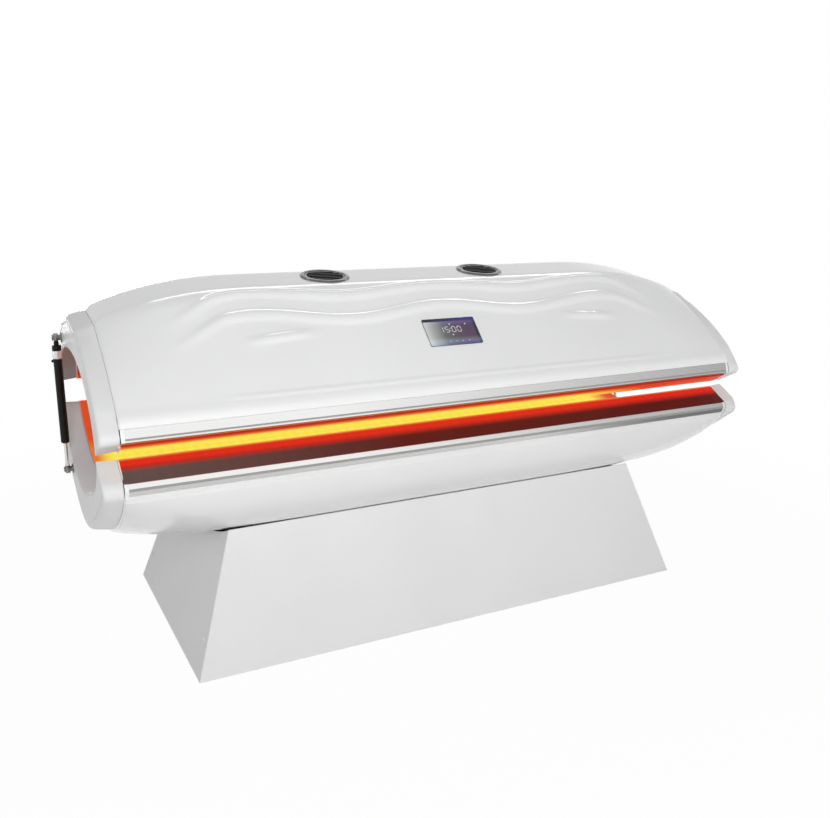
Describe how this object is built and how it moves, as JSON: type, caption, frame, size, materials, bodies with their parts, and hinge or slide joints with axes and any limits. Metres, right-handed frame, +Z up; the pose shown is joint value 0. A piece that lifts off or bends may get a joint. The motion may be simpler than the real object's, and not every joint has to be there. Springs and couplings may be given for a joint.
{
  "type": "red light therapy bed",
  "caption": "Lie-in light bed: white lofted hull and lifting canopy round an acrylic tunnel lit red, on a splayed sheet-metal plinth, with gas springs, air outlets and a touch screen.",
  "frame": {"origin": "on the floor under the middle of the plinth", "axes": "+X along the bed to the picture's right, +Y to the hinge side at the back, +Z up"},
  "size_m": [1.9434, 0.8475, 0.9679],
  "materials": {
    "white_sheet": "satin",
    "white_shell": "gloss",
    "grey_plate": "satin",
    "aluminium": "satin",
    "steel": "brushed",
    "chrome": "polished",
    "red_acrylic": "gloss",
    "light_board": "matte",
    "black_paint": "satin",
    "black_plastic": "matte",
    "dark_glass": "gloss",
    "circuit_board": "matte"
  },
  "bodies": {
    "bed": {"plinth_front_panel": "white_sheet", "plinth_back_panel": "white_sheet", "plinth_left_panel": "white_sheet", "plinth_right_panel": "white_sheet", "plinth_floor_tray": "white_sheet", "plinth_bulkhead_left": "white_sheet", "plinth_bulkhead_right": "white_sheet", "bed_rib_1": "white_sheet", "bed_rib_2": "white_sheet", "bed_rib_3": "white_sheet", "hull_shell": "white_shell", "bed_end_rim_left": "white_shell", "bed_end_rim_right": "white_shell", "bed_end_plate_left": "grey_plate", "bed_end_plate_right": "grey_plate", "power_supply_left": "grey_plate", "power_supply_right": "grey_plate", "bed_front_trim": "aluminium", "bed_back_trim": "aluminium", "hinge_leaf_bed_left": "steel", "hinge_leaf_bed_right": "steel", "hinge_pin_left": "steel", "hinge_pin_right": "steel", "strut_stud_lower_left": "steel", "strut_stud_lower_right": "steel", "bed_acrylic": "red_acrylic", "bed_light_board": "light_board", "mains_inlet": "black_plastic"},
    "canopy": {"canopy_rib_left": "white_sheet", "canopy_rib_right": "white_sheet", "canopy_shell": "white_shell", "canopy_end_rim_left": "white_shell", "canopy_end_rim_right": "white_shell", "canopy_end_plate_left": "grey_plate", "canopy_end_plate_right": "grey_plate", "canopy_front_trim": "aluminium", "canopy_back_trim": "aluminium", "hinge_leaf_canopy_left": "steel", "hinge_leaf_canopy_right": "steel", "strut_stud_upper_left": "steel", "strut_stud_upper_right": "steel", "vent_bezel_left": "chrome", "vent_bezel_right": "chrome", "canopy_acrylic": "red_acrylic", "canopy_light_board": "light_board", "fan_frame_left": "black_plastic", "fan_frame_right": "black_plastic", "display_module": "black_plastic", "touch_screen": "dark_glass", "control_board": "circuit_board"},
    "gas_rod_left": {"strut_rod_left": "chrome"},
    "gas_tube_left": {"strut_tube_left": "black_paint"},
    "air_outlet_left": {"vent_louvre_left": "chrome"},
    "fan_left": {"fan_rotor_left": "black_plastic"},
    "gas_rod_right": {"strut_rod_right": "chrome"},
    "gas_tube_right": {"strut_tube_right": "black_paint"},
    "air_outlet_right": {"vent_louvre_right": "chrome"},
    "fan_right": {"fan_rotor_right": "black_plastic"}
  },
  "joints": [
    {"name": "canopy_lift", "type": "hinge", "parent": "bed", "child": "canopy", "pos_m": [0, 0.425, 0.578], "axis": [-1, 0, 0], "range_deg": [0, 45]},
    {"name": "gas_rod_swing_left", "type": "hinge", "parent": "bed", "child": "gas_rod_left", "pos_m": [-0.9595, 0.18, 0.43], "axis": [-1, 0, 0], "range_deg": [0, 26]},
    {"name": "gas_tube_swing_left", "type": "hinge", "parent": "canopy", "child": "gas_tube_left", "pos_m": [-0.9595, 0.18, 0.797], "axis": [-1, 0, 0], "range_deg": [-22, 0]},
    {"name": "air_outlet_turn_left", "type": "hinge", "parent": "canopy", "child": "air_outlet_left", "pos_m": [-0.28218, -0.068, 0.95189], "axis": [0, -0.1605, 0.987], "range_deg": [-90, 90]},
    {"name": "fan_spin_left", "type": "hinge", "parent": "canopy", "child": "fan_left", "pos_m": [-0.28218, -0.068, 0.95189], "axis": [0, -0.1605, 0.987], "continuous": true},
    {"name": "gas_rod_swing_right", "type": "hinge", "parent": "bed", "child": "gas_rod_right", "pos_m": [0.9595, 0.18, 0.43], "axis": [-1, 0, 0], "range_deg": [0, 26]},
    {"name": "gas_tube_swing_right", "type": "hinge", "parent": "canopy", "child": "gas_tube_right", "pos_m": [0.9595, 0.18, 0.797], "axis": [-1, 0, 0], "range_deg": [-22, 0]},
    {"name": "air_outlet_turn_right", "type": "hinge", "parent": "canopy", "child": "air_outlet_right", "pos_m": [0.20847, -0.068, 0.95189], "axis": [0, -0.1605, 0.987], "range_deg": [-90, 90]},
    {"name": "fan_spin_right", "type": "hinge", "parent": "canopy", "child": "fan_right", "pos_m": [0.20847, -0.068, 0.95189], "axis": [0, -0.1605, 0.987], "continuous": true}
  ],
  "couplings": [
    {"joint": "gas_rod_swing_left", "follows": "canopy_lift", "ratio": 0.5656},
    {"joint": "gas_tube_swing_left", "follows": "canopy_lift", "ratio": -0.4344},
    {"joint": "gas_rod_swing_right", "follows": "canopy_lift", "ratio": 0.5656},
    {"joint": "gas_tube_swing_right", "follows": "canopy_lift", "ratio": -0.4344}
  ]
}
